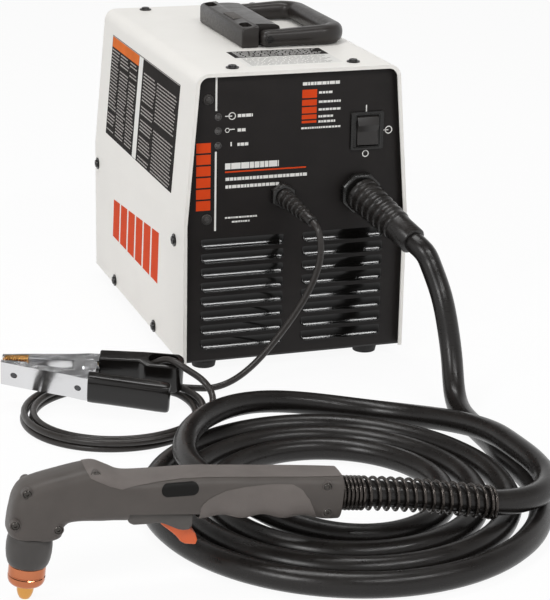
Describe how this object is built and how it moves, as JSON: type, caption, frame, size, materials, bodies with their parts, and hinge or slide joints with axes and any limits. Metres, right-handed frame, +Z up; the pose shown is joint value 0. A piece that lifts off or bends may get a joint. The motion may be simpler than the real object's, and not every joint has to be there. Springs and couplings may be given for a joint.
{
  "type": "plasma cutter unit",
  "caption": "Portable plasma cutting unit: steel case with carrying handle and switch, hand torch on a coiled cable, and work clamp on a coiled lead.",
  "frame": {"origin": "on the ground, under the middle of the box round the case and the torch laid out in front of it", "axes": "+Z up; the case front with the switch and the louvres faces -Y; +X is to the right of someone who faces the case front"},
  "size_m": [0.4307, 0.7618, 0.2804],
  "materials": {
    "case_paint": "smooth warm white powder coat",
    "panel_plastic": "fine satin grain",
    "black_paint": "satin powder coat",
    "foot_rubber": "matt moulded",
    "screw_black": "black oxide",
    "screw_steel": "bright zinc plate",
    "handle_plastic": "satin moulded",
    "switch_plastic": "gloss moulded",
    "lens_smoke": "smoke tinted lens",
    "boot_rubber": "matt ribbed",
    "board_laminate": "glass laminate",
    "cap_sleeve": "shrunk sleeve",
    "sink_aluminium": "extruded",
    "core_iron": "sintered",
    "copper_winding": "enamelled copper wire",
    "motor_paint": "gloss",
    "cast_alloy": "die cast",
    "zinc_sheet": "zinc plated sheet",
    "hose_rubber": "smooth hose",
    "brass": "machined",
    "torch_plastic": "satin glass-filled",
    "cup_plastic": "satin heat-resistant",
    "torch_copper": "bright machined copper",
    "trigger_plastic": "satin moulded",
    "lock_plastic": "satin moulded orange",
    "spring_black": "black oxide wire",
    "spring_steel": "bright drawn wire",
    "clamp_zinc": "bright zinc plate",
    "clamp_vinyl": "dipped vinyl",
    "cable_jacket": "satin vinyl jacket"
  },
  "bodies": {
    "unit": {"wrapper": "case_paint", "front_panel": "panel_plastic", "rear_panel": "case_paint", "base_pan": "black_paint", "divider": "zinc_sheet", "feet": "foot_rubber", "case_screws": "screw_black", "front_screws": "screw_black", "indicator_lenses": "lens_smoke", "handle_base": "handle_plastic", "handle_pins": "screw_steel", "switch_body": "switch_plastic", "work_gland_nut": "handle_plastic", "work_strain_relief": "boot_rubber", "torch_gland_nut": "handle_plastic", "torch_strain_relief": "boot_rubber", "mains_gland": "handle_plastic", "power_board": "board_laminate", "capacitors": "cap_sleeve", "heat_sink": "sink_aluminium", "transformer_core": "core_iron", "transformer_winding": "copper_winding", "fan_frame": "handle_plastic", "compressor_motor": "motor_paint", "compressor_cylinder": "cast_alloy", "air_tube": "hose_rubber", "air_valve": "brass", "torch_handle_left": "torch_plastic", "torch_handle_right": "torch_plastic", "torch_screws": "screw_steel", "torch_head": "brass", "cutting_tip": "torch_copper", "electrode": "torch_copper", "trigger_pin": "screw_steel", "trigger_switch": "switch_plastic", "torch_cable_spring": "spring_black", "clamp_far_half": "clamp_zinc", "clamp_far_grip": "clamp_vinyl", "clamp_pivot": "clamp_zinc", "clamp_spring": "spring_steel", "clamp_teeth_far": "torch_copper", "cable_lug": "brass", "torch_cable_lead": "cable_jacket", "torch_cable_coil": "cable_jacket", "torch_cable_tail": "cable_jacket", "work_cable_lead": "cable_jacket", "work_cable_coil": "cable_jacket", "work_cable_tail": "cable_jacket"},
    "handle_loop": {"handle_loop": "handle_plastic"},
    "switch_rocker": {"switch_rocker": "switch_plastic"},
    "trigger": {"trigger": "trigger_plastic"},
    "trigger_lock": {"trigger_lock": "lock_plastic"},
    "cup": {"retaining_cup": "cup_plastic", "cup_shield": "torch_copper"},
    "clamp_near": {"clamp_near_half": "clamp_zinc", "clamp_near_grip": "clamp_vinyl", "clamp_teeth_near": "torch_copper", "clamp_spring_leg": "spring_steel"},
    "fan_rotor": {"fan_rotor": "handle_plastic"},
    "compressor_crank": {"compressor_crank": "zinc_sheet"}
  },
  "joints": [
    {"name": "handle_fold", "type": "hinge", "parent": "unit", "child": "handle_loop", "pos_m": [0.115, 0.1996, 0.2685], "axis": [0, -1, 0], "range_deg": [0, 90]},
    {"name": "power_switch", "type": "hinge", "parent": "unit", "child": "switch_rocker", "pos_m": [0.1742, 0.0476, 0.2046], "axis": [-1, 0, 0], "range_deg": [0, 14]},
    {"name": "trigger_pull", "type": "hinge", "parent": "unit", "child": "trigger", "pos_m": [-0.13125, -0.3332, 0.06162], "axis": [-0.0384, -0.9993, 0], "range_deg": [0, 8], "stiffness_Nm_per_rad": 0.25, "springref_deg": -11.46},
    {"name": "lock_flip", "type": "hinge", "parent": "trigger", "child": "trigger_lock", "pos_m": [-0.11167, -0.33395, 0.0471], "axis": [0.0384, 0.9993, 0], "range_deg": [0, 12], "stiffness_Nm_per_rad": 0.03, "springref_deg": -22.92},
    {"name": "cup_turn", "type": "hinge", "parent": "unit", "child": "cup", "pos_m": [-0.204, -0.3304, 0.0003], "axis": [0.1045, -0.004, 0.9945], "range_deg": [0, 720]},
    {"name": "clamp_open", "type": "hinge", "parent": "unit", "child": "clamp_near", "pos_m": [-0.084, -0.0034, 0.0265], "axis": [-0.0494, -0.3285, 0.9432], "range_deg": [0, 12.5], "stiffness_Nm_per_rad": 0.8, "springref_deg": -40.11},
    {"name": "fan_spin", "type": "hinge", "parent": "unit", "child": "fan_rotor", "pos_m": [0.066, 0.3286, 0.16], "axis": [0, -1, 0], "continuous": true},
    {"name": "crank_spin", "type": "hinge", "parent": "unit", "child": "compressor_crank", "pos_m": [0.166, 0.1916, 0.052], "axis": [0, -1, 0], "continuous": true}
  ]
}
